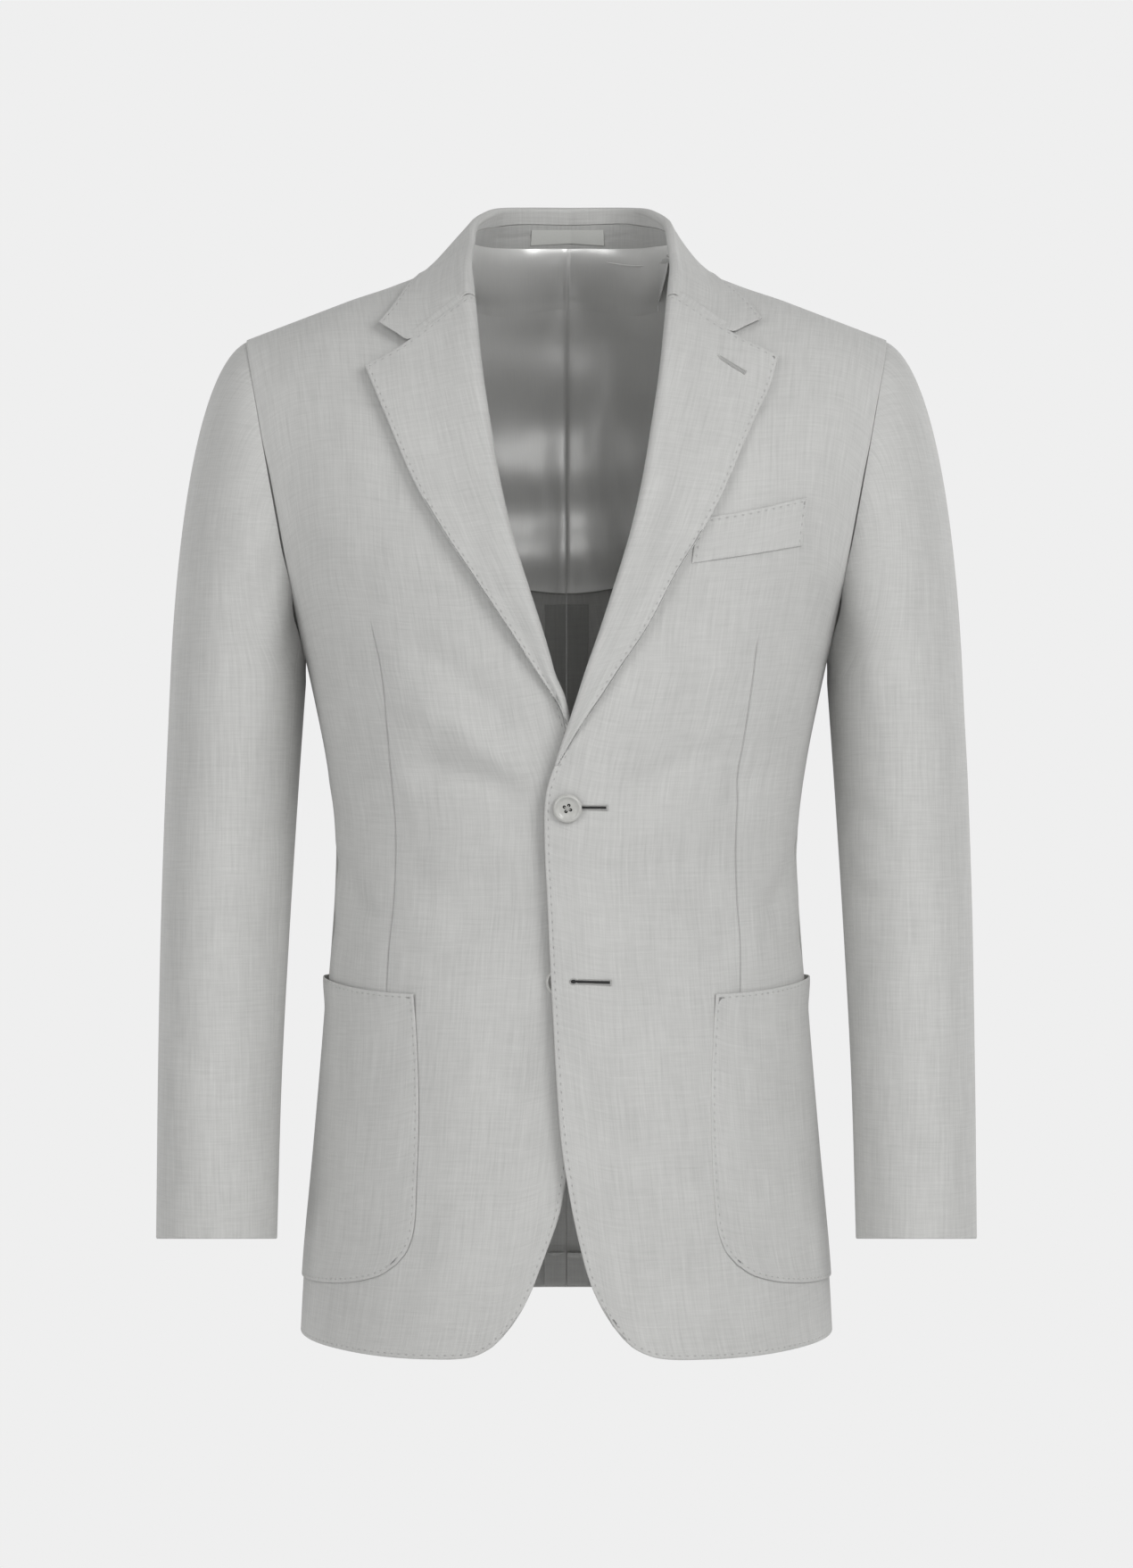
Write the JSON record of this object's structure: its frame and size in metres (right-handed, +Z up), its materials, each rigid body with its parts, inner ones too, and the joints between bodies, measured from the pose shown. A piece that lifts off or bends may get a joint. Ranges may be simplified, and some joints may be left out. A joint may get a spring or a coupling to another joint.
{
  "type": "suit jacket",
  "caption": "Single-breasted notch-lapel suit jacket in pale grey, filled out and hollow, with patch pockets, a chest pocket and a half-lined back.",
  "frame": {"origin": "the centre of the neck base, on the level of the front of the neck, where a wearer or a stand holds the jacket up", "axes": "+X towards the wearer's left, -Y towards the front, +Z up"},
  "size_m": [0.5518, 0.2691, 0.7825],
  "materials": {
    "cloth": "matt, fine slubby plain weave",
    "lining": "smooth satin",
    "label": "matt woven tape, bare",
    "button": "soft gloss"
  },
  "bodies": {
    "root": {"front_left": "cloth", "side_left": "cloth", "back_left": "cloth", "sleeve_top_left": "cloth", "sleeve_under_left": "cloth", "lapel_left": "cloth", "patch_pocket_left": "cloth", "lining_back_left": "lining", "front_right": "cloth", "side_right": "cloth", "back_right": "cloth", "sleeve_top_right": "cloth", "sleeve_under_right": "cloth", "lapel_right": "cloth", "patch_pocket_right": "cloth", "lining_back_right": "lining", "collar_fall": "cloth", "collar_stand": "cloth", "neck_label": "label", "chest_welt": "cloth", "button_top": "button", "button_lower": "button"}
  },
  "joints": []
}
